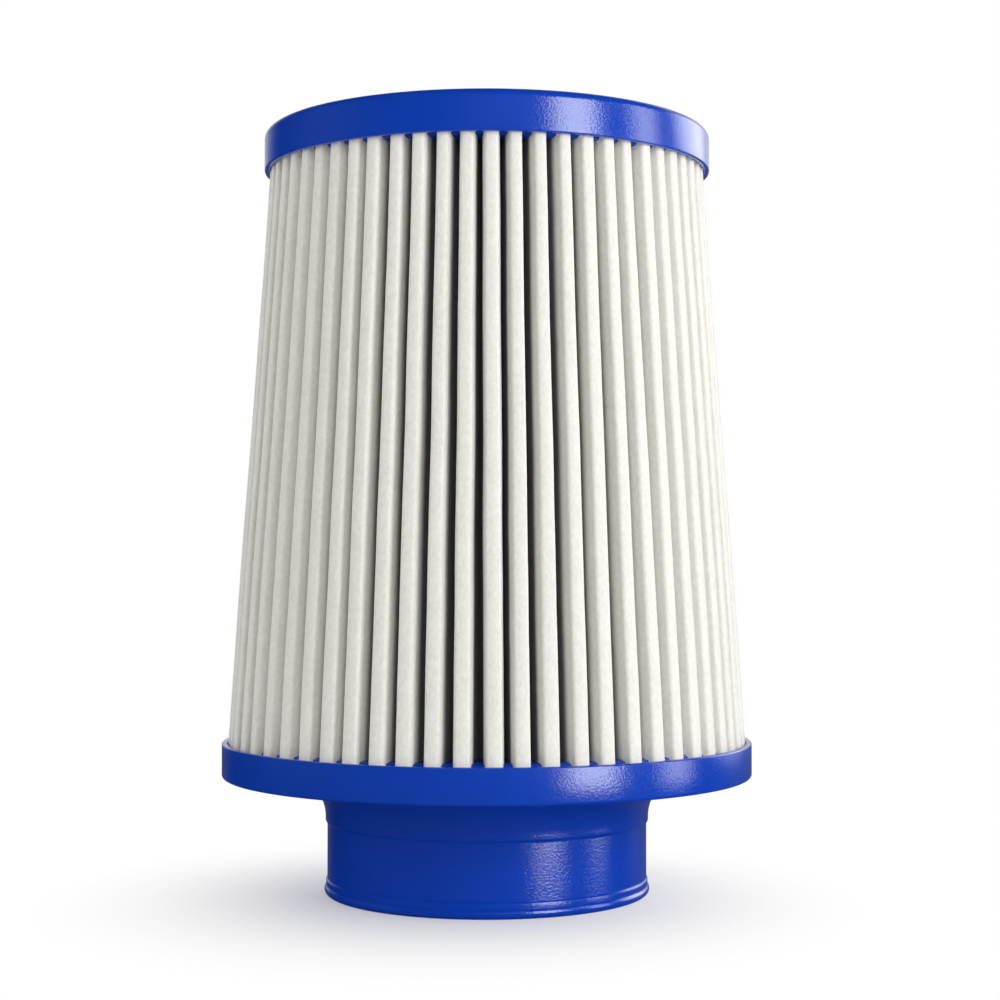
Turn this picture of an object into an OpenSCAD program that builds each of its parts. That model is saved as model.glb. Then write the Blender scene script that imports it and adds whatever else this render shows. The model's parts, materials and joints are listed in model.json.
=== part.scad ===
// Conical air filter for an engine intake, in millimetres.
// A moulded base cap with the pipe neck, a moulded top cap, one pleated sheet of filter media
// and the steel screen that backs it. Both caps are poured round the ends of the pleats.
// The origin is the centre of the neck's mouth, and +Z runs up the axis to the top cap.

/* [Neck] */
// Bore that slides over the intake pipe
pipe_bore = 76; // [60:0.5:80]
// Wall of the neck round the bore
neck_wall = 5.5; // [3:0.5:8]
// Height of the neck, from its mouth to the underside of the base ring
neck_h = 32; // [26:1:60]
// Lead-in chamfer inside the mouth
mouth_chamfer = 1; // [0.5:0.25:1.5]
// Height of the bead that keeps a band clamp on the neck
bead_h = 2.8; // [2:0.2:5]
// How far the bead stands out from the neck
bead_out = 0.8; // [0.4:0.1:2]
// Height of the small shoulder on top of the bead
shoulder_h = 1.6; // [0.8:0.2:3]
// How far the shoulder stands out from the neck
shoulder_out = 0.35; // [0.2:0.05:0.8]
// Height of the straight stretch of neck that a band clamp closes on
clamp_land = 14.9; // [10:0.1:20]
// How far the collar above the clamp land stands out from the neck
collar_out = 0.5; // [0.3:0.1:1.5]
// Radius that blends the collar into the base ring
neck_fillet = 11; // [4:0.5:12]

/* [Base ring] */
// Outside diameter of the base ring
base_d = 144; // [138:1:170]
// Height of the base ring's edge
base_h = 9.3; // [8:0.1:16]
// Radius of the rounded entry from the clean side into the bore
entry_r = 6; // [3:0.5:8]

/* [Top cap] */
// Outside diameter of the top cap
top_d = 122; // [112:1:126]
// Height of the top cap's edge
top_h = 10.8; // [9:0.1:18]
// Radius on the cap's upper edge
top_edge_r = 2.2; // [1:0.1:3]
// Width of the flat rim round the shallow recess in the top
rim_w = 9; // [6:0.5:16]
// Depth of the recess in the top
recess = 1.2; // [0.6:0.1:2]

/* [Potting] */
// Width of the lip that stands outside the pleat tips
lip_w = 1.5; // [1:0.1:4]
// Height of the lip above the moulded face between the pleats
lip_h = 1.4; // [0.8:0.1:3]
// Depth to which the pleats are moulded into each cap
pot_depth = 4.6; // [3:0.1:5]
// Rounding of the caps' small outer edges
edge_r = 0.9; // [0.4:0.1:1.2]
// Clearance between a cap's moulding and what it is moulded round
pot_gap = 0.1; // [0.05:0.05:0.2]

/* [Pleated media] */
// Height of media that shows between the two caps
media_h = 154.9; // [80:0.1:240]
// Number of pleats
pleats = 60; // [48:1:64]
// Depth of a pleat, from the face of its tip to the face of its inner fold
pleat_depth = 18.5; // [12:0.5:19]
// Thickness of the media
sheet_t = 1; // [0.6:0.1:1.2]
// Share of the pitch that is open between two tips
tip_gap_share = 0.3; // [0.24:0.01:0.36]
// Share of the pitch that is open at the foot of the same gap
root_gap_share = 0.28; // [0.24:0.01:0.32]
// Inside radius of the crease at each edge of a tip
crease_r = 0.3; // [0.2:0.05:0.5]
// Angle of the first tip from +X
first_tip = 1.2; // [0:0.1:6]

/* [Support screen] */
// Thickness of the steel
screen_t = 0.8; // [0.5:0.1:1.2]
// Clearance between the screen and the inner folds
screen_gap = 0.3; // [0.2:0.05:0.5]
// Diamond openings in each row
mesh_columns = 15; // [8:1:18]
// Rows of diamond openings
mesh_rows = 8; // [3:1:8]
// Width of the steel strand between two openings
strand = 3; // [2:0.25:5]
// Plain band of steel left at each end, outside the caps
end_band = 3; // [2:0.5:8]

/* [Hidden] */
$fn = 96;
CUT = 1; // overshoot of a cutting shape past the face that it cuts
CREASE_STEPS = 2;
ROOT_STEPS = 4;
FILLET_STEPS = 12;

moulded_blue = "#1440a8";
felt_white = "#eeeee8";
zinc_grey = "#a9adb0";

// Heights of the faces, from the mouth upwards
land_z = bead_h + shoulder_h;
collar_z = land_z + clamp_land;
ring_z = neck_h;
base_top_z = ring_z + base_h;
base_face_z = base_top_z - lip_h;
media_low_z = base_face_z - pot_depth;
cap_low_z = base_top_z + media_h;
cap_face_z = cap_low_z + lip_h;
media_high_z = cap_face_z + pot_depth;
cap_top_z = cap_low_z + top_h;

// Radii of the mouldings
bore_r = pipe_bore / 2;
neck_r = bore_r + neck_wall;
collar_r = neck_r + collar_out;
base_r = base_d / 2;
top_r = top_d / 2;

// Radii of the pleat tips at each cap, and of the screen behind the inner folds
base_tip_r = base_r - lip_w - pot_gap;
top_tip_r = top_r - lip_w - pot_gap;
screen_inset = pleat_depth + screen_gap;

// Points of an arc about [x, y] from angle a to angle b, with both ends
function arc(x, y, r, a, b, steps) =
    [for (i = [0:steps]) let (t = a + (b - a) * i / steps) [x + r * cos(t), y + r * sin(t)]];

// A point at distance r along the direction a, moved by t towards larger angles
function polar_point(r, t, a) = [r * cos(a) - t * sin(a), r * sin(a) + t * cos(a)];

// Half the arc of one pitch at radius r, times the share of it that counts
function half_pitch(r, share) = share * PI * r / pleats;

// Centre radius and half width of the round foot of a gap, where the tips reach tip_r
function root_r(tip_r) = (tip_r - pleat_depth + sheet_t) / (1 - root_gap_share * PI / pleats);
function root_w(tip_r) = half_pitch(root_r(tip_r), root_gap_share);

// One closed line of the folded sheet: its outer face sunk by depth, so that 0 is the face
// seen from outside, sheet_t is the clean side, and a negative depth lies clear of the sheet
function sheet_line(tip_r, depth) =
    let (
        half = half_pitch(tip_r, 1 - tip_gap_share),
        bend = crease_r + sheet_t,
        left = arc(bend - half, tip_r - bend, bend - depth, 180, 90, CREASE_STEPS),
        right = arc(half - bend, tip_r - bend, bend - depth, 90, 0, CREASE_STEPS),
        root = arc(0, root_r(tip_r), root_w(tip_r) + depth, 180, 360, ROOT_STEPS)
    )
    [for (k = [0:pleats - 1])
        let (tip_a = first_tip + 360 * k / pleats, root_a = tip_a + 180 / pleats)
        each concat(
            [for (p = left) polar_point(p[1], p[0], tip_a)],
            [for (p = right) polar_point(p[1], p[0], tip_a)],
            [for (p = root) polar_point(p[1], p[0], root_a)]
        )];

// The two triangles of a four-sided face
function split(a, b, c, d) = [[a, b, c], [a, c, d]];

// Space that the ends of the media and of the screen take in a cap, from height z over h
module potting_pocket(tip_r, z, h) {
    outer = sheet_line(tip_r, -pot_gap);
    inner = sheet_line(tip_r, sheet_t + pot_gap);
    count = len(outer);
    translate([0, 0, z])
        linear_extrude(h)
            polygon(
                concat(outer, inner),
                [[for (i = [0:count - 1]) i], [for (i = [0:count - 1]) count + i]]
            );
    translate([0, 0, z])
        linear_extrude(h)
            difference() {
                circle(root_r(tip_r));
                circle(tip_r - screen_inset - screen_t - pot_gap);
            }
}

module base_cap() {
    face_r = base_tip_r + pot_gap;
    profile = concat(
        [[bore_r, mouth_chamfer], [bore_r + mouth_chamfer, 0]],
        arc(neck_r + bead_out - bead_h / 2, bead_h / 2, bead_h / 2, -90, 60, FILLET_STEPS),
        [
            [neck_r + shoulder_out, bead_h],
            [neck_r + shoulder_out, land_z - shoulder_out],
            [neck_r, land_z],
            [neck_r, collar_z]
        ],
        arc(collar_r - edge_r, collar_z + edge_r, edge_r, -60, 0, 4),
        arc(collar_r + neck_fillet, ring_z - neck_fillet, neck_fillet, 180, 90, FILLET_STEPS),
        arc(base_r - edge_r, ring_z + edge_r, edge_r, -90, 0, 4),
        arc(base_r - edge_r / 2, base_top_z - edge_r / 2, edge_r / 2, 0, 90, 4),
        [[face_r, base_top_z], [face_r, base_face_z]],
        arc(bore_r + entry_r, base_face_z - entry_r, entry_r, 90, 180, FILLET_STEPS)
    );
    color(moulded_blue)
        difference() {
            rotate_extrude()
                polygon(profile);
            potting_pocket(base_tip_r, media_low_z, pot_depth + CUT);
        }
}

module top_cap() {
    face_r = top_tip_r + pot_gap;
    profile = concat(
        [[0, cap_face_z], [face_r, cap_face_z], [face_r, cap_low_z]],
        arc(top_r - edge_r / 2, cap_low_z + edge_r / 2, edge_r / 2, -90, 0, 4),
        arc(top_r - top_edge_r, cap_top_z - top_edge_r, top_edge_r, 0, 90, 8),
        [
            [top_r - rim_w, cap_top_z],
            [top_r - rim_w - recess, cap_top_z - recess],
            [0, cap_top_z - recess]
        ]
    );
    color(moulded_blue)
        difference() {
            rotate_extrude()
                polygon(profile);
            potting_pocket(top_tip_r, cap_face_z - CUT, pot_depth + CUT);
        }
}

// One sheet folded all the way round. It tapers between the caps, and its two ends stand
// straight in them
module pleated_media() {
    levels = [
        [media_low_z, base_tip_r],
        [base_face_z, base_tip_r],
        [cap_face_z, top_tip_r],
        [media_high_z, top_tip_r]
    ];
    lines = [for (l = levels) each [
        [for (p = sheet_line(l[1], 0)) [p[0], p[1], l[0]]],
        [for (p = sheet_line(l[1], sheet_t)) [p[0], p[1], l[0]]]
    ]];
    count = len(lines[0]);
    last = len(lines) - 2;
    walls = [for (l = [0:2:last - 2], i = [0:count - 1])
        let (a = l * count + i, b = l * count + (i + 1) % count, up = 2 * count)
        each concat(
            split(a, a + up, b + up, b),
            split(b + count, b + count + up, a + count + up, a + count)
        )];
    ends = [for (i = [0:count - 1])
        let (a = i, b = (i + 1) % count, top = last * count)
        each concat(
            split(a, b, b + count, a + count),
            split(top + a, top + a + count, top + b + count, top + b)
        )];
    color(felt_white)
        polyhedron([for (line = lines) each line], concat(walls, ends));
}

// Outside radius of the screen at height z
function screen_r(z) =
    let (share = (z - base_face_z) / (cap_face_z - base_face_z))
    base_tip_r + (top_tip_r - base_tip_r) * share - screen_inset;

module support_screen() {
    outside = [
        [screen_r(base_face_z), media_low_z],
        [screen_r(base_face_z), base_face_z],
        [screen_r(cap_face_z), cap_face_z],
        [screen_r(cap_face_z), media_high_z]
    ];
    inside = [for (i = [len(outside) - 1:-1:0]) [outside[i][0] - screen_t, outside[i][1]]];
    mesh_low_z = base_top_z + end_band;
    mesh_h = media_h - 2 * end_band;
    row_h = (mesh_h - strand) / (mesh_rows + 1) * 2;
    color(zinc_grey)
        difference() {
            rotate_extrude()
                polygon(concat(outside, inside));
            for (row = [0:mesh_rows - 1]) {
                z = mesh_low_z + strand / 2 + row_h / 2 * (row + 1);
                half_w = PI * screen_r(z) / mesh_columns - strand / 2;
                half_h = row_h / 2 - strand / 2;
                turn = row % 2 / 2;
                for (column = [0:mesh_columns - 1])
                    rotate([90, 0, 360 * (column + turn) / mesh_columns + 90])
                        translate([0, z, screen_r(z) - 2 * screen_t])
                            linear_extrude(4 * screen_t)
                                polygon([[half_w, 0], [0, half_h], [-half_w, 0], [0, -half_h]]);
            }
        }
}

base_cap();
top_cap();
pleated_media();
support_screen();
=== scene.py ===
"""Conical air filter on a pale floor: moulded caps, a pleated non-woven media and its steel screen."""

import json
import math
import random

import bpy
from mathutils import Matrix, Vector


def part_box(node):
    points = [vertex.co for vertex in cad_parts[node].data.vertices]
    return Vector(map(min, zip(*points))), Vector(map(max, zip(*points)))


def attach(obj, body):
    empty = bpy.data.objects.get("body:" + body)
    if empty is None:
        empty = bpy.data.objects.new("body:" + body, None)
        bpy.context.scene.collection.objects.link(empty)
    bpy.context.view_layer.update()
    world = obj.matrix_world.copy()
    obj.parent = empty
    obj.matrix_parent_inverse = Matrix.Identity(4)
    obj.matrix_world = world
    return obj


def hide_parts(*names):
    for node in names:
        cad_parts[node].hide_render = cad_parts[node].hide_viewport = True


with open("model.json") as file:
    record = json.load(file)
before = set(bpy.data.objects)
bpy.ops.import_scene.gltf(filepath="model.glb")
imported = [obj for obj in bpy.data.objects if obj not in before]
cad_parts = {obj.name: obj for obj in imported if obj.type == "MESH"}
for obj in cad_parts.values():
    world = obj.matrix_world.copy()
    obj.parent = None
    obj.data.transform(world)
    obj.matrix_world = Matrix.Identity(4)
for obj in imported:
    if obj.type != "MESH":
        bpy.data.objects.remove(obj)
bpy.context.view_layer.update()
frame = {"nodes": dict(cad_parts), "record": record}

MM = 0.001


# Sizes, taken from the frame or worked out from it

RING_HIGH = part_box("base_cap")[1]
CAP_LOW, CAP_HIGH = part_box("top_cap")
MEDIA_LOW, MEDIA_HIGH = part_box("pleated_media")
MOUNTS = {m["name"]: m for m in frame["record"]["mounts"]}

BORE_R = MOUNTS["pipe_neck"]["dims"]["r_mm"] * MM
NECK_R = MOUNTS["clamp_land"]["dims"]["r_mm"] * MM
RING_R = RING_HIGH.x
RING_TOP = RING_HIGH.z
RING_H = 9.3 * MM
RING_BOTTOM = RING_TOP - RING_H
CAP_R = CAP_HIGH.x
CAP_TOP = CAP_HIGH.z
CAP_BOTTOM = CAP_LOW.z

# The lip round each cap, and the moulding's face inside it that the pleats stand in
LIP_W = 1.5 * MM
LIP_H = 1.4 * MM
LIP_EDGE = 0.3 * MM
LIP_ROOT = 0.4 * MM
RING_FACE = RING_TOP - LIP_H
CAP_FACE = CAP_BOTTOM + LIP_H

PLEATS = 60
FIRST_TIP = math.radians(1.2)
PITCH = 2 * math.pi / PLEATS
PLEAT_DEPTH = 18.5 * MM
SHEET_T = 1.0 * MM
TIP_GAP = 0.1 * MM
RING_TIP_R = RING_R - LIP_W - TIP_GAP
CAP_TIP_R = CAP_R - LIP_W - TIP_GAP

# The size of a plane that is there only to be merged into one point, or deleted for an empty mesh
DOT = 0.2 * MM


# Modelling helpers

def start():
    """Leaves whatever was selected or edited, so that the next operator acts on nothing else."""
    if bpy.context.object and bpy.context.object.mode != "OBJECT":
        bpy.ops.object.mode_set(mode="OBJECT")
    bpy.ops.object.select_all(action="DESELECT")


def select_where(test):
    """In edit mode, selects the vertices whose place passes the test, and what they bound."""
    bpy.ops.mesh.select_mode(type="VERT")
    bpy.ops.mesh.select_all(action="DESELECT")
    bpy.ops.object.mode_set(mode="OBJECT")
    for v in bpy.context.object.data.vertices:
        v.select = test(v.co)
    bpy.ops.object.mode_set(mode="EDIT")


def turned(name, profile, segments=256):
    """A body of revolution: a circle pulled from ring to ring along profile, pairs of radius and height.
    A last radius of 0 closes the body on its axis. The piece stays in edit mode."""
    start()
    radius, height = profile[0]
    bpy.ops.mesh.primitive_circle_add(vertices=segments, radius=radius, location=(0, 0, height))
    piece = bpy.context.object
    piece.name = piece.data.name = name
    bpy.ops.object.transform_apply(location=True, rotation=True, scale=True)
    bpy.ops.object.mode_set(mode="EDIT")
    bpy.ops.mesh.select_all(action="SELECT")
    for next_radius, next_height in profile[1:]:
        bpy.ops.mesh.extrude_edges_move(TRANSFORM_OT_translate={"value": (0, 0, next_height - height)})
        if next_radius == 0:
            bpy.ops.mesh.merge(type="CENTER")
        elif next_radius != radius:
            grow = next_radius / radius
            bpy.ops.transform.resize(value=(grow, grow, 1), center_override=(0, 0, next_height))
        radius, height = next_radius, next_height
    return piece


def close_up():
    """Merges the doubles of the piece in hand, turns its faces outwards and leaves edit mode."""
    bpy.ops.object.mode_set(mode="EDIT")
    bpy.ops.mesh.select_all(action="SELECT")
    bpy.ops.mesh.remove_doubles(threshold=0.01 * MM)
    bpy.ops.mesh.normals_make_consistent(inside=False)
    bpy.ops.object.mode_set(mode="OBJECT")


def smooth(piece, angle):
    """Smooth shading over every edge that bends by less than the angle, in degrees."""
    start()
    piece.select_set(True)
    bpy.context.view_layer.objects.active = piece
    bpy.ops.object.shade_smooth_by_angle(angle=math.radians(angle))


def arc(x, y, r, a, b, steps):
    """Points of an arc about (x, y), from a to b degrees, with both ends."""
    turns = [math.radians(a + (b - a) * i / steps) for i in range(steps + 1)]
    return [(x + r * math.cos(t), y + r * math.sin(t)) for t in turns]


def apply_modifier(piece, name, kind, **settings):
    """Gives the piece a modifier with these settings and applies it."""
    start()
    bpy.context.view_layer.objects.active = piece
    piece.select_set(True)
    modifier = piece.modifiers.new(name, kind)
    for key, value in settings.items():
        setattr(modifier, key, value)
    bpy.ops.object.modifier_apply(modifier=modifier.name)


# Materials

def colour(hex_code):
    """An sRGB hex colour as linear RGBA."""
    parts = [int(hex_code[i:i + 2], 16) / 255 for i in (1, 3, 5)]
    return [c / 12.92 if c <= 0.04045 else ((c + 0.055) / 1.055) ** 2.4 for c in parts] + [1]


def add(tree, kind, links=(), **settings):
    """Adds a node. Settings are its properties, or its inputs by their names, set in the order given, and
    links pair an input with a socket."""
    node = tree.nodes.new(kind)
    for key, value in settings.items():
        if hasattr(node, key):
            setattr(node, key, value)
        else:
            node.inputs[key.replace("_", " ")].default_value = value
    for name, socket in links:
        tree.links.new(socket, node.inputs[name])
    return node


def new_material(name, **settings):
    """A material with its tree, its shader with these settings, and the place on the object."""
    material = bpy.data.materials.new(name)
    material.use_nodes = True
    tree = material.node_tree
    tree.nodes.clear()
    shader = add(tree, "ShaderNodeBsdfPrincipled", **settings)
    add(tree, "ShaderNodeOutputMaterial", [("Surface", shader.outputs[0])])
    place = add(tree, "ShaderNodeTexCoord").outputs["Object"]
    return material, tree, shader, place


def moulded_polyurethane():
    """Self-skinned polyurethane, poured into a polished mould and pigmented right through: an even deep
    blue with a satin skin, whose fine orange peel breaks up the edges of a highlight."""
    peel_w, peel_h, flow_w = 0.55 * MM, 0.1 * MM, 22 * MM
    material, tree, shader, place = new_material("moulded_polyurethane", IOR=1.5, Specular_IOR_Level=0.85)
    peel = add(tree, "ShaderNodeTexNoise", [("Vector", place)], Scale=1 / peel_w, Detail=2.0)
    flow = add(tree, "ShaderNodeTexNoise", [("Vector", place)], Scale=1 / flow_w, Detail=2.0)
    tint = add(tree, "ShaderNodeMix", [("Factor", flow.outputs[0])], data_type="RGBA",
               A=colour("#073bad"), B=colour("#0941b8"))
    gloss = add(tree, "ShaderNodeMapRange", [("Value", peel.outputs[0])],
                From_Min=0.3, From_Max=0.7, To_Min=0.15, To_Max=0.22)
    bump = add(tree, "ShaderNodeBump", [("Height", peel.outputs[0])], Strength=0.5, Distance=peel_h)
    tree.links.new(tint.outputs["Result"], shader.inputs["Base Color"])
    tree.links.new(gloss.outputs[0], shader.inputs["Roughness"])
    tree.links.new(bump.outputs[0], shader.inputs["Normal"])
    return material


def painted_shade_between_pleats(tree, place):
    """Painted shade between the pleats: the share of the felt's colour kept, by the depth below the tips."""
    open_depth, dark_depth = 2.4 * MM, 6.5 * MM
    level = add(tree, "ShaderNodeVectorMath", [(0, place)], operation="MULTIPLY")
    level.inputs[1].default_value = (1, 1, 0)
    from_axis = add(tree, "ShaderNodeVectorMath", [(0, level.outputs[0])], operation="LENGTH")
    height = add(tree, "ShaderNodeSeparateXYZ", [(0, place)]).outputs["Z"]
    tip = add(tree, "ShaderNodeMapRange", [("Value", height)],
              From_Min=RING_FACE, From_Max=CAP_FACE, To_Min=RING_TIP_R, To_Max=CAP_TIP_R)
    depth = add(tree, "ShaderNodeMath", [(0, tip.outputs[0]), (1, from_axis.outputs["Value"])],
                operation="SUBTRACT")
    # Painted shade: full colour near the tips, darkening to 0.15 deep between the pleats
    painted_shade = add(tree, "ShaderNodeMapRange", [("Value", depth.outputs[0])], interpolation_type="SMOOTHSTEP",
                From_Min=open_depth, From_Max=dark_depth, To_Min=1.0, To_Max=0.15)
    return painted_shade.outputs[0]


def needled_felt():
    """Off-white non-woven polyester felt, needled from fine fibres: quite matt, with a faint fuzzy grain
    and a soft sheen where it is seen edge on. The fibres are drawn coarser than they are, so that they
    show, and longer than they are wide along the pleats. Shade between two pleats is painted into the
    colour, darker with the depth below the tips."""
    fibre_w, fibre_h, cloud_w = 0.8 * MM, 0.25 * MM, 7 * MM
    material, tree, shader, place = new_material(
        "needled_felt", Roughness=0.95, Sheen_Weight=0.25, Sheen_Roughness=0.5, Specular_IOR_Level=0.2)
    stretch = add(tree, "ShaderNodeMapping", [("Vector", place)], Scale=(1, 1, 0.55))
    fibre = add(tree, "ShaderNodeTexNoise", [("Vector", stretch.outputs[0])],
                Scale=1 / fibre_w, Detail=6.0, Roughness=0.7)
    cloud = add(tree, "ShaderNodeTexNoise", [("Vector", place)], Scale=1 / cloud_w, Detail=3.0)
    tint = add(tree, "ShaderNodeMix", [("Factor", fibre.outputs[0])], data_type="RGBA",
               A=colour("#d5d3c9"), B=colour("#fdfcf7"))
    shade = add(tree, "ShaderNodeMapRange", [("Value", cloud.outputs[0])],
                From_Min=0.3, From_Max=0.7, To_Min=0.93, To_Max=1.0)
    patch = add(tree, "ShaderNodeMix", [("A", tint.outputs["Result"]), ("B", shade.outputs[0])],
                data_type="RGBA", blend_type="MULTIPLY", Factor=0.5)
    # Painted shade between the pleats, multiplied into the felt's colour
    painted_shade = painted_shade_between_pleats(tree, place)
    felt = add(tree, "ShaderNodeMix", [("A", patch.outputs["Result"]), ("B", painted_shade)],
               data_type="RGBA", blend_type="MULTIPLY", Factor=1.0)
    bump = add(tree, "ShaderNodeBump", [("Height", fibre.outputs[0])], Strength=0.5, Distance=fibre_h)
    tree.links.new(felt.outputs["Result"], shader.inputs["Base Color"])
    tree.links.new(bump.outputs[0], shader.inputs["Normal"])
    return material


def zinc_plated_steel():
    """Zinc-plated mild steel, slit and stretched into a mesh: a dull grey metal with a soft spangle."""
    spangle_w = 3 * MM
    material, tree, shader, place = new_material("zinc_plated_steel", Metallic=1.0)
    spangle = add(tree, "ShaderNodeTexNoise", [("Vector", place)], Scale=1 / spangle_w, Detail=3.0)
    tint = add(tree, "ShaderNodeMix", [("Factor", spangle.outputs[0])], data_type="RGBA",
               A=colour("#8f949a"), B=colour("#bcc0c4"))
    rough = add(tree, "ShaderNodeMapRange", [("Value", spangle.outputs[0])], To_Min=0.3, To_Max=0.5)
    tree.links.new(tint.outputs["Result"], shader.inputs["Base Color"])
    tree.links.new(rough.outputs[0], shader.inputs["Roughness"])
    return material


BLUE = moulded_polyurethane()
FELT = needled_felt()
ZINC = zinc_plated_steel()


# Base cap and top cap, each turned from its moulded section

def make_base_cap():
    """The ring and its neck. Between the pleats the poured moulding stands a little above the lip. The
    land has a second point near each of its ends, which keeps the shading of the bends there short."""
    mouth, bead_h, bead_out = 1 * MM, 2.8 * MM, 0.8 * MM
    shoulder_out, shoulder_r, land_z = 0.35 * MM, 0.25 * MM, 4.4 * MM
    collar_z, collar_r = 19.3 * MM, NECK_R + 0.5 * MM
    edge, fillet, entry = 0.9 * MM, 11 * MM, 6 * MM
    groove_r, rise_r = RING_TIP_R - 1.4 * MM, RING_TIP_R - 2.2 * MM
    potting_out_r, potting_in_r, well_r = RING_TIP_R - 3.4 * MM, RING_TIP_R - 16 * MM, RING_TIP_R - 18 * MM
    rise_z, potting_z = RING_TOP + 0.1 * MM, RING_TOP + 0.5 * MM
    profile = (
        [(BORE_R, mouth), (BORE_R + mouth, 0)]
        + arc(NECK_R + bead_out - bead_h / 2, bead_h / 2, bead_h / 2, -90, 50, 10)
        + arc(NECK_R + shoulder_out - shoulder_r, land_z - 2 * shoulder_r, shoulder_r, 0, 60, 3)
        + [(NECK_R, land_z), (NECK_R, land_z + 0.4 * MM), (NECK_R, collar_z - 0.3 * MM), (NECK_R, collar_z)]
        + arc(collar_r - edge, collar_z + edge, edge, -60, 0, 5)
        + arc(collar_r + fillet, RING_BOTTOM - fillet, fillet, 180, 90, 14)
        + arc(RING_R - edge, RING_BOTTOM + edge, edge, -90, 0, 5)
        + arc(RING_R - edge / 2, RING_TOP - edge / 2, edge / 2, 0, 90, 4)
        + arc(RING_R - LIP_W + LIP_EDGE, RING_TOP - LIP_EDGE, LIP_EDGE, 90, 180, 3)
        + arc(RING_R - LIP_W - LIP_ROOT, RING_FACE + LIP_ROOT, LIP_ROOT, 0, -90, 3)
        + [(groove_r, RING_FACE), (rise_r, rise_z), (potting_out_r, potting_z), (potting_in_r, potting_z)]
        + [(well_r, RING_FACE)]
        + arc(BORE_R + entry, RING_FACE - entry, entry, 90, 180, 10)
    )
    piece = turned("base_cap_moulding", profile + [profile[0]])
    close_up()
    smooth(piece, 35)
    return piece


def make_top_cap():
    """The closed cap. Its moulding, too, stands out between the pleats."""
    edge, top_edge = 0.9 * MM, 2.2 * MM
    rim_w, recess, recess_bend, recess_lean = 9 * MM, 1.2 * MM, 0.5 * MM, 0.3 * MM
    floor_z = CAP_TOP - recess
    hub_r = 0.5 * MM
    well_r, potting_in_r = CAP_TIP_R - 13 * MM, CAP_TIP_R - 11 * MM
    potting_out_r, rise_r, groove_r = CAP_TIP_R - 3.4 * MM, CAP_TIP_R - 2.2 * MM, CAP_TIP_R - 1.4 * MM
    potting_z = CAP_BOTTOM - 0.3 * MM
    profile = (
        [(hub_r, CAP_FACE), (well_r, CAP_FACE), (potting_in_r, potting_z), (potting_out_r, potting_z)]
        + [(rise_r, CAP_BOTTOM), (groove_r, CAP_FACE)]
        + arc(CAP_R - LIP_W - LIP_ROOT, CAP_FACE - LIP_ROOT, LIP_ROOT, 90, 0, 3)
        + arc(CAP_R - LIP_W + LIP_EDGE, CAP_BOTTOM + LIP_EDGE, LIP_EDGE, 180, 270, 3)
        + arc(CAP_R - edge / 2, CAP_BOTTOM + edge / 2, edge / 2, -90, 0, 4)
        + arc(CAP_R - top_edge, CAP_TOP - top_edge, top_edge, 0, 90, 8)
        + arc(CAP_R - rim_w + recess_lean, CAP_TOP - recess_bend, recess_bend, 90, 145, 4)
        + arc(CAP_R - rim_w - recess - recess_lean, floor_z + recess_bend, recess_bend, -35, -90, 4)
        + [(hub_r, floor_z), (0, floor_z)]
    )
    piece = turned("top_cap_moulding", profile)
    select_where(lambda p: p.xy.length < hub_r + 0.1 * MM and p.z < CAP_FACE + 0.1 * MM)
    bpy.ops.mesh.edge_face_add()
    close_up()
    smooth(piece, 35)
    return piece


# Pleated media: two folded lines, bridged and given the sheet's thickness

def pleat_tip(half, face):
    """A pleat's tip, from flank to flank: a crowned crest between two tight bends, from which the flanks
    spread a little before they run straight in. Half is the tip's half width where it is widest, and face
    its distance from the axis."""
    bend, spread = 0.5 * MM, 3.0 * MM
    crown, steep = 13, 82
    spread_in, spread_out = spread * math.sin(math.radians(steep)), spread * math.cos(math.radians(steep))
    crown_r = (half - spread_out - bend) / math.sin(math.radians(crown)) + bend
    x = (crown_r - bend) * math.sin(math.radians(crown))
    y = face - crown_r + (crown_r - bend) * math.cos(math.radians(crown))
    side = arc(x, y, bend, 90 - crown, 90 - steep, 4)
    side += arc(x + spread_out, y - spread_in, bend, 90 - steep, 0, 1)
    return [(-t, r) for t, r in reversed(side)] + [(0, face)] + side


def fold_line(tip_r, height, rng):
    """Points of the sheet's middle along one closed folded line: the tips and the round inner folds. A
    tip's width and an inner fold's half width are shares of the pitch there, and root_at is about how far
    out the inner folds lie, as a share of tip_r. Each pleat is a little unlike the next, in its place by
    a share of the pitch, in its width and in how far its tip stands out."""
    crest_share, root_share, root_at = 0.67, 0.14, 0.75
    wander, unlike, dip = 0.05, 0.05, 0.3 * MM
    points = []
    for k in range(PLEATS):
        tip_a = FIRST_TIP + k * PITCH + rng.uniform(-1, 1) * wander * PITCH
        root_a = FIRST_TIP + (k + 0.5) * PITCH
        width = PITCH * tip_r * crest_share * rng.uniform(1 - unlike, 1 + unlike)
        half = width / 2 - SHEET_T / 2
        face = tip_r - SHEET_T / 2 - rng.uniform(0, dip)
        root_r = tip_r - PLEAT_DEPTH + SHEET_T + root_share * PITCH * tip_r * root_at
        root_w = root_share * PITCH * root_r + SHEET_T / 2
        root = arc(0, root_r, root_w, 180, 360, 4)
        for side, points_of in ((tip_a, pleat_tip(half, face)), (root_a, root)):
            u = Vector((math.cos(side), math.sin(side), 0))
            v = Vector((-math.sin(side), math.cos(side), 0))
            points += [u * r + v * t + Vector((0, 0, height)) for t, r in points_of]
    return points


def length_round(points):
    """Length of the closed line through the points."""
    return sum((b - a).length for a, b in zip(points, points[1:] + points[:1]))


def draw_closed_line(points):
    """In edit mode, pulls one vertex from point to point and closes the line."""
    bpy.ops.mesh.select_all(action="DESELECT")
    bpy.ops.mesh.primitive_plane_add(size=DOT, location=points[0])
    bpy.ops.mesh.merge(type="CENTER")
    for a, b in zip(points, points[1:]):
        bpy.ops.mesh.extrude_vertices_move(TRANSFORM_OT_translate={"value": b - a})
    ends = [points[0], points[-1]]
    select_where(lambda p: min((p - e).length for e in ends) < 0.1 * DOT)
    bpy.ops.mesh.edge_face_add()


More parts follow.
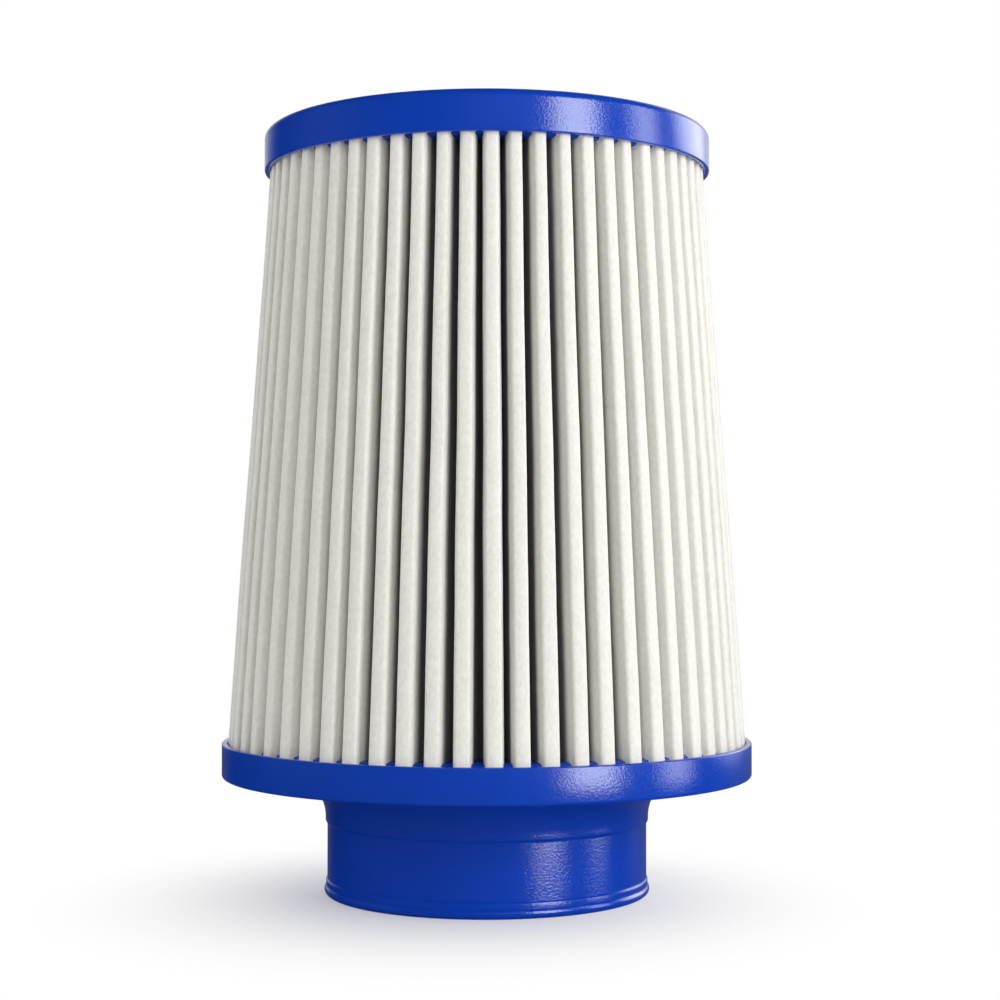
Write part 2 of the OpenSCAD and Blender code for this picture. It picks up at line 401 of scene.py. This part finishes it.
def make_media():
    """The folded sheet, and the width that it has when it is pulled flat."""
    rows, sway_w, sway_by = 27, 30 * MM, 0.3 * MM
    low, high = MEDIA_LOW.z, MEDIA_HIGH.z
    lean = (CAP_TIP_R - RING_TIP_R) / (CAP_FACE - RING_FACE)
    lines = [
        fold_line(RING_TIP_R + lean * (low - RING_FACE), low, random.Random(7)),
        fold_line(RING_TIP_R + lean * (high - RING_FACE), high, random.Random(11)),
    ]
    start()
    bpy.ops.mesh.primitive_plane_add(size=DOT, location=lines[0][0])
    piece = bpy.context.object
    piece.name = piece.data.name = "media_sheet"
    bpy.ops.object.transform_apply(location=True, rotation=True, scale=True)
    bpy.ops.object.mode_set(mode="EDIT")
    bpy.ops.mesh.select_all(action="SELECT")
    bpy.ops.mesh.delete(type="VERT")
    for line in lines:
        draw_closed_line(line)
    bpy.ops.mesh.select_all(action="SELECT")
    bpy.ops.mesh.bridge_edge_loops(number_cuts=rows)
    close_up()
    sway = bpy.data.textures.new("sway", "CLOUDS")
    sway.noise_scale = sway_w
    apply_modifier(piece, "sway", "DISPLACE", texture=sway, texture_coords="LOCAL", direction="RGB_TO_XYZ",
                   strength=sway_by, mid_level=0.5)
    apply_modifier(piece, "thickness", "SOLIDIFY", thickness=SHEET_T, offset=0.0)
    smooth(piece, 30)
    return piece, sum(length_round(line) for line in lines) / len(lines)


base_cap = make_base_cap()
top_cap = make_top_cap()
media, media_flat_w = make_media()

for piece, node, material, slot in (
    (base_cap, "base_cap", BLUE, "moulded_blue"),
    (top_cap, "top_cap", BLUE, "moulded_blue"),
    (media, "pleated_media", FELT, "media"),
):
    piece.data.materials.clear()
    piece.data.materials.append(material)
    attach(piece, "root")
    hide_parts(node)

screen = frame["nodes"]["support_screen"]
screen.data.materials.clear()
screen.data.materials.append(ZINC)


# Floor, lights and camera

def make_floor():
    """A pale table top that fades to the white backdrop away from the filter and keeps its shadow."""
    start()
    bpy.ops.mesh.primitive_plane_add(size=6, location=(0, 0, 0))
    floor = bpy.context.object
    floor.name = "floor"
    material, tree, shader, place = new_material(
        "white_table", Base_Color=colour("#f2f2f2"), Roughness=0.9, Specular_IOR_Level=0.1)
    glow = add(tree, "ShaderNodeEmission", Strength=1.0)
    away = add(tree, "ShaderNodeVectorMath", [(0, place)], operation="DISTANCE")
    away.inputs[1].default_value = (-10 * MM, -12 * MM, 0)
    fade = add(tree, "ShaderNodeMapRange", [("Value", away.outputs["Value"])],
               interpolation_type="SMOOTHSTEP", From_Min=-20 * MM, From_Max=115 * MM, To_Min=0.0, To_Max=1.0)
    path = add(tree, "ShaderNodeLightPath")
    share = add(tree, "ShaderNodeMath", [(0, fade.outputs[0]), (1, path.outputs["Is Camera Ray"])],
                operation="MULTIPLY")
    mix = add(tree, "ShaderNodeMixShader",
              [(0, share.outputs[0]), (1, shader.outputs[0]), (2, glow.outputs[0])])
    output = next(n for n in tree.nodes if n.type == "OUTPUT_MATERIAL")
    tree.links.new(mix.outputs[0], output.inputs["Surface"])
    floor.data.materials.append(material)
    floor.visible_glossy = False


def make_world():
    """Soft ambient light from all round. What the caps mirror is a white backdrop behind the filter, a
    brighter panel at its right, and a dim studio on the camera's side and below."""
    ambient = 0.27
    world = bpy.data.worlds.new("studio")
    world.use_nodes = True
    bpy.context.scene.world = world
    tree = world.node_tree
    tree.nodes.clear()
    towards = add(tree, "ShaderNodeTexCoord").outputs["Generated"]
    behind = add(tree, "ShaderNodeVectorMath", [(0, towards)], operation="DOT_PRODUCT")
    behind.inputs[1].default_value = (0.26, 0.966, 0)
    backdrop = add(tree, "ShaderNodeMapRange", [("Value", behind.outputs["Value"])],
                   interpolation_type="SMOOTHSTEP", From_Min=0.5, From_Max=0.95, To_Min=0.01, To_Max=1.0)
    beside = add(tree, "ShaderNodeVectorMath", [(0, towards)], operation="DOT_PRODUCT")
    beside.inputs[1].default_value = (0.77, 0.6, 0.2)
    panel = add(tree, "ShaderNodeMapRange", [("Value", beside.outputs["Value"])],
                interpolation_type="SMOOTHSTEP", From_Min=0.93, From_Max=0.98, To_Min=0.0, To_Max=3.0)
    rise = add(tree, "ShaderNodeSeparateXYZ", [(0, towards)]).outputs["Z"]
    horizon = add(tree, "ShaderNodeMapRange", [("Value", rise)],
                  interpolation_type="SMOOTHSTEP", From_Min=-0.1, From_Max=0.15, To_Min=0.1, To_Max=1.0)
    bright = add(tree, "ShaderNodeMath", [(0, backdrop.outputs[0]), (1, panel.outputs[0])], operation="ADD")
    mirrored = add(tree, "ShaderNodeMath", [(0, bright.outputs[0]), (1, horizon.outputs[0])],
                   operation="MULTIPLY")
    path = add(tree, "ShaderNodeLightPath")
    level = add(tree, "ShaderNodeMix",
                [("Factor", path.outputs["Is Glossy Ray"]), ("B", mirrored.outputs[0])],
                data_type="FLOAT", A=ambient)
    seen = add(tree, "ShaderNodeMath",
               [(0, path.outputs["Is Camera Ray"]), (1, path.outputs["Is Transmission Ray"])],
               operation="MAXIMUM")
    strength = add(tree, "ShaderNodeMath", [(0, level.outputs[0]), (1, seen.outputs[0])],
                   operation="MAXIMUM")
    light = add(tree, "ShaderNodeBackground", [("Strength", strength.outputs[0])], Color=colour("#ffffff"))
    add(tree, "ShaderNodeOutputWorld", [("Surface", light.outputs[0])])


def softbox(name, azimuth, distance, height, size, power, mirrored=True):
    """A rectangular lamp at an angle from the camera's side, positive to the right, turned to the middle of
    the filter. One that isn't mirrored lights the filter without a highlight of its own."""
    middle = Vector((0, 0, 0.11))
    a = math.radians(azimuth)
    data = bpy.data.lights.new(name, "AREA")
    data.shape, data.size, data.size_y, data.energy = "RECTANGLE", size[0], size[1], power
    lamp = bpy.data.objects.new(name, data)
    place = Vector((math.sin(a) * distance, -math.cos(a) * distance, height))
    turn = (place - middle).to_track_quat("Z", "Y").to_matrix().to_4x4()
    lamp.matrix_world = Matrix.Translation(place) @ turn
    lamp.visible_glossy = mirrored
    bpy.context.scene.collection.objects.link(lamp)


def make_camera():
    """The photograph's view, from a camera fitted to the filter's edges: low, close and nearly level."""
    data = bpy.data.cameras.new("camera")
    data.sensor_width = 36
    data.lens = 71.6
    data.clip_start, data.clip_end = 0.01, 20
    camera = bpy.data.objects.new("camera", data)
    camera.location = (0, -0.5467, 0.0934)
    camera.rotation_euler = (math.radians(90 + 1.415), 0, math.radians(-0.3745))
    bpy.context.scene.collection.objects.link(camera)
    bpy.context.scene.camera = camera


make_floor()
make_world()
softbox("key", azimuth=43, distance=0.9, height=0.24, size=(0.34, 0.68), power=4.75)
softbox("side", azimuth=83, distance=0.9, height=0.25, size=(0.25, 0.7), power=1.9)
softbox("front_fill", azimuth=6, distance=1.2, height=0.5, size=(0.7, 0.7), power=3.0, mirrored=False)
softbox("left_fill", azimuth=-92, distance=1.2, height=0.45, size=(0.9, 0.9), power=5.6, mirrored=False)
softbox("back_fill", azimuth=170, distance=1.2, height=0.15, size=(0.9, 0.9), power=6.0, mirrored=False)
make_camera()
bpy.context.scene.view_settings.view_transform = "Standard"
